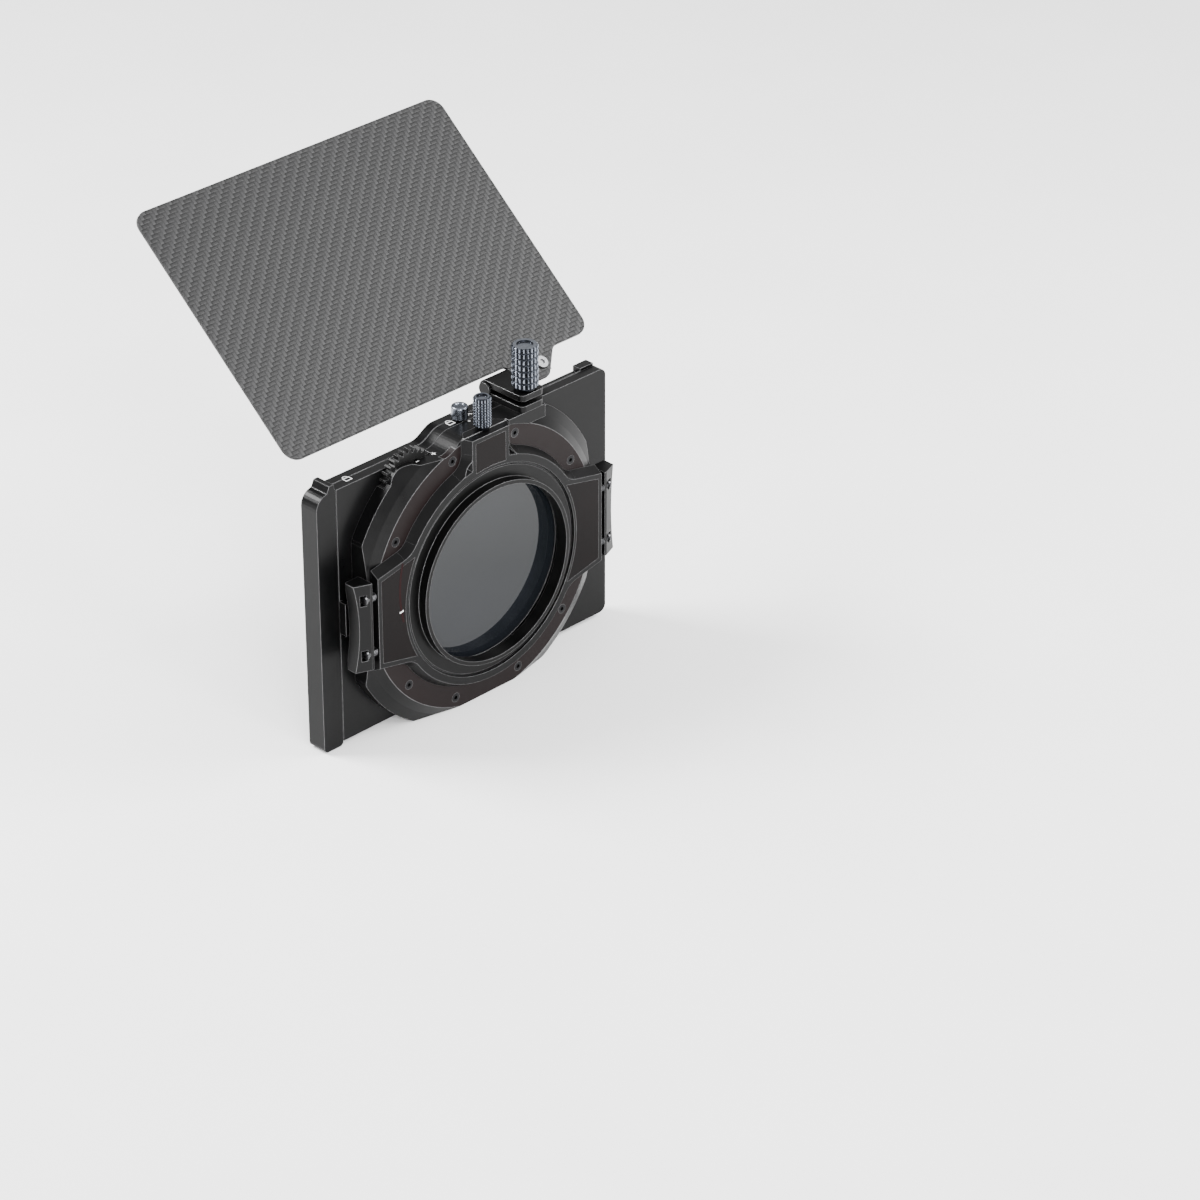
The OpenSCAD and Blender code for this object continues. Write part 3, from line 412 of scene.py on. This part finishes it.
# ---------------------------------------------------------------- dress the frame
def dress():
    """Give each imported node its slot's material, or its own where the slot isn't enough."""
    mats = {
        "body": anodised("body_anodised", (0.0012, 0.0012, 0.0013), (0.0021, 0.0021, 0.0022)),
        # The cover's dark red tint is a painted reflection of the red ring of a lens
        "cover": anodised("cover_anodised_painted_red", (0.0030, 0.0012, 0.0012),
                          (0.0044, 0.0018, 0.0018), 0.42),
        "ring": anodised("ring_anodised", (0.0010, 0.0010, 0.0010),
                         (0.0017, 0.0017, 0.0017), 0.33),
        "wheel": anodised("wheel_anodised", (0.005, 0.005, 0.005),
                          (0.008, 0.008, 0.008), 0.36, 0.00012),
        "knob": steel("knob_steel", (0.17, 0.185, 0.215), 0.25),
        "inlay": gloss_black(),
        "carbon": carbon_twill(),
        "glass": filter_glass(),
        "dark_screw": steel("blackened_screw", (0.020, 0.020, 0.021), 0.38),
        "steel": steel("bright_steel", (0.45, 0.45, 0.46), 0.25),
    }
    # The latch pins and springs sit in holes, and their steel is coloured darker as painted shade
    shade_darkened = steel("shade_darkened_steel", (0.10, 0.10, 0.105), 0.30)
    own = {
        "flag_clamp_knob": knurled_steel("flag_clamp_knob", 0.00050, 0.00012),
        "adapter_lock_knob": knurled_steel("adapter_lock_knob", 0.00028, 0.00006),
        "flag_screws": steel("matt_steel", (0.20, 0.20, 0.205), 0.42),
        "latch_pins": shade_darkened,
        "left_latch_springs": shade_darkened,
        "right_latch_springs": shade_darkened,
    }
    for part in frame["record"]["subparts"]:
        o = nodes[part["node"]]
        o.data.materials.clear()
        o.data.materials.append(own.get(part["node"], mats[part["material_slot"]]))
    return mats


# ---------------------------------------------------------------- flat pieces
def arc(cx, cy, r, a0, a1, steps=12):
    """Points on an arc from a0 to a1 degrees, both ends included."""
    return [
        (cx + r * math.cos(math.radians(a0 + (a1 - a0) * i / steps)),
         cy + r * math.sin(math.radians(a0 + (a1 - a0) * i / steps)))
        for i in range(steps + 1)
    ]


def box_loop(x0, y0, x1, y1):
    return [(x0, y0), (x1, y0), (x1, y1), (x0, y1)]


def flat_piece(name, loops, low, high, place, body, mat, soften=0.0):
    """A flat piece cut to closed loops of (x, y) in mm, from low to high along its own Z."""
    curve = bpy.data.curves.new(name + "_outline", "CURVE")
    curve.dimensions = "2D"
    curve.fill_mode = "BOTH"
    curve.extrude = (high - low) / 2 * MM - soften
    curve.bevel_depth = soften
    curve.bevel_resolution = 2
    curve.offset = -soften
    for loop in loops:
        spline = curve.splines.new("POLY")
        spline.points.add(len(loop) - 1)
        for point, (x, y) in zip(spline.points, loop):
            point.co = (x * MM, y * MM, 0, 1)
        spline.use_cyclic_u = True
    cut = bpy.data.objects.new(name + "_cut", curve)
    bpy.context.scene.collection.objects.link(cut)
    bpy.context.view_layer.update()
    shaped = cut.evaluated_get(bpy.context.evaluated_depsgraph_get())
    mesh = bpy.data.meshes.new_from_object(shaped)
    bpy.data.objects.remove(cut)
    mesh.name = name
    mesh.materials.clear()
    mesh.materials.append(mat)
    piece = bpy.data.objects.new(name, mesh)
    bpy.context.scene.collection.objects.link(piece)
    piece.matrix_world = place @ Matrix.Translation((0, 0, (low + high) / 2 * MM))
    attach(piece, body)
    return piece


def flag_panel(mat):
    """The carbon flag with its hinge tab, whose right side flares at 45 degrees to the flag."""
    w, gap, r = FLAG_HALF_W, FLAG_GAP, FLAG_CORNER
    far = gap + FLAG_DEPTH
    slant = math.sqrt(0.5)
    tab_y = TAB_BACK + TAB_CORNER
    flare_x = TAB_BEND + TAB_CORNER * slant + FLARE_RUN + FLARE_CORNER * slant
    loop = arc(w - r, gap + r, r, -90, 0) + arc(w - r, far - r, r, 0, 90)
    loop += arc(-w + r, far - r, r, 90, 180) + arc(-w + r, gap + r, r, 180, 270)
    loop += arc(TAB_LEFT - TAB_NOTCH, gap - TAB_NOTCH, TAB_NOTCH, 90, 0, 8)
    loop += arc(TAB_LEFT + TAB_CORNER, tab_y, TAB_CORNER, 180, 270)
    loop += arc(TAB_BEND, tab_y, TAB_CORNER, -90, -45, 8)
    loop += arc(flare_x, gap - FLARE_CORNER, FLARE_CORNER, 135, 90, 8)
    holes = [arc(x, 0, FLAG_SCREW_R, 0, 352.5, 47) for x in FLAG_SCREWS]
    tilt = Matrix.Rotation(math.radians(FLAG_TILT), 4, "X")
    place = Matrix.Translation(FLAG_HINGE) @ tilt
    panel = flat_piece("flag_panel", [loop] + holes, FLAG_LOW, FLAG_HIGH, place,
                       "flag", mat, FLAG_EDGE_ROUND)
    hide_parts("flag_sheet")
    return panel


def top_signs(white):
    """Two padlocks, an arrow, a dot, a minus and a plus on the upward faces."""
    def top(name, loops, x, y, z):
        place = Matrix.Translation((x * MM, y * MM, z * MM))
        flat_piece(name, loops, 0.0, PRINT, place, "box", white)

    padlock = [box_loop(-1.6, -1.9, 1.6, 0.5), box_loop(-1.2, -1.5, 1.2, 0.1),
               arc(0.0, 0.55, 1.25, 0, 180) + arc(0.0, 0.55, 0.88, 180, 0)]
    arrow = [(-1.2, -0.8), (-0.7, -0.8), (0, 0.15), (0.7, -0.8), (1.2, -0.8), (0, 0.85)]
    plus = [(-0.2, -1), (0.2, -1), (0.2, -0.2), (1, -0.2), (1, 0.2), (0.2, 0.2),
            (0.2, 1), (-0.2, 1), (-0.2, 0.2), (-1, 0.2), (-1, -0.2), (-0.2, -0.2)]
    top("lock_sign_left", padlock, -57.3, 18.8, HOUSING_TOP)
    top("lock_sign_hump", padlock, -4.7, 18.0, HUMP_TOP)
    top("arrow_sign", [arrow], 5.4, 17.7, HUMP_TOP)
    top("dot_sign", [arc(0, 0, 0.55, 0, 345, 23)], 1.5, 13.5, HUMP_TOP)
    top("minus_sign", [box_loop(-0.8, -0.2, 0.8, 0.2)], -29.2, 9.7, HOUSING_TOP)
    top("plus_sign", [plus], -20.6, 9.9, HOUSING_TOP)


def red_arc_and_tick(white):
    """A thin dark red arc on the left inlay, and a white tick across it."""
    # The arc is drawn as a thin dark red strip laid on the inlay
    red = paint("red_arc_paint", (0.006, 0.0010, 0.0012), (0.010, 0.0015, 0.0018), 0.08)
    # turns a drawing's x, y and thickness to X, Z and the rear
    rear = Matrix(((1, 0, 0, 0), (0, 0, -1, 0), (0, 1, 0, 0), (0, 0, 0, 1)))
    outer = arc(RED_ARC_X, RED_ARC_Z, RED_ARC_R + RED_ARC_HALF_W, RED_ARC_FROM, RED_ARC_TO, 24)
    inner = arc(RED_ARC_X, RED_ARC_Z, RED_ARC_R - RED_ARC_HALF_W, RED_ARC_TO, RED_ARC_FROM, 24)
    flat_piece("red_arc_strip", [outer + inner], 0.0, RED_ARC_THICK, rear, "box", red)
    centre = Matrix.Translation((RED_ARC_X * MM, RED_ARC_Z * MM, 0))
    turned = rear @ centre @ Matrix.Rotation(math.radians(RED_ARC_TICK), 4, "Z")
    tick = box_loop(RED_ARC_R - 1.1, -0.3, RED_ARC_R + 1.0, 0.3)
    flat_piece("arc_tick_strip", [tick], 0.0, TICK_THICK, turned, "box", white)


def signs():
    white = paint("white_print", (0.55, 0.55, 0.55), (0.68, 0.68, 0.68))
    top_signs(white)
    red_arc_and_tick(white)


make_camera()
make_studio()
mats = dress()
flag_panel(mats["carbon"])
signs()
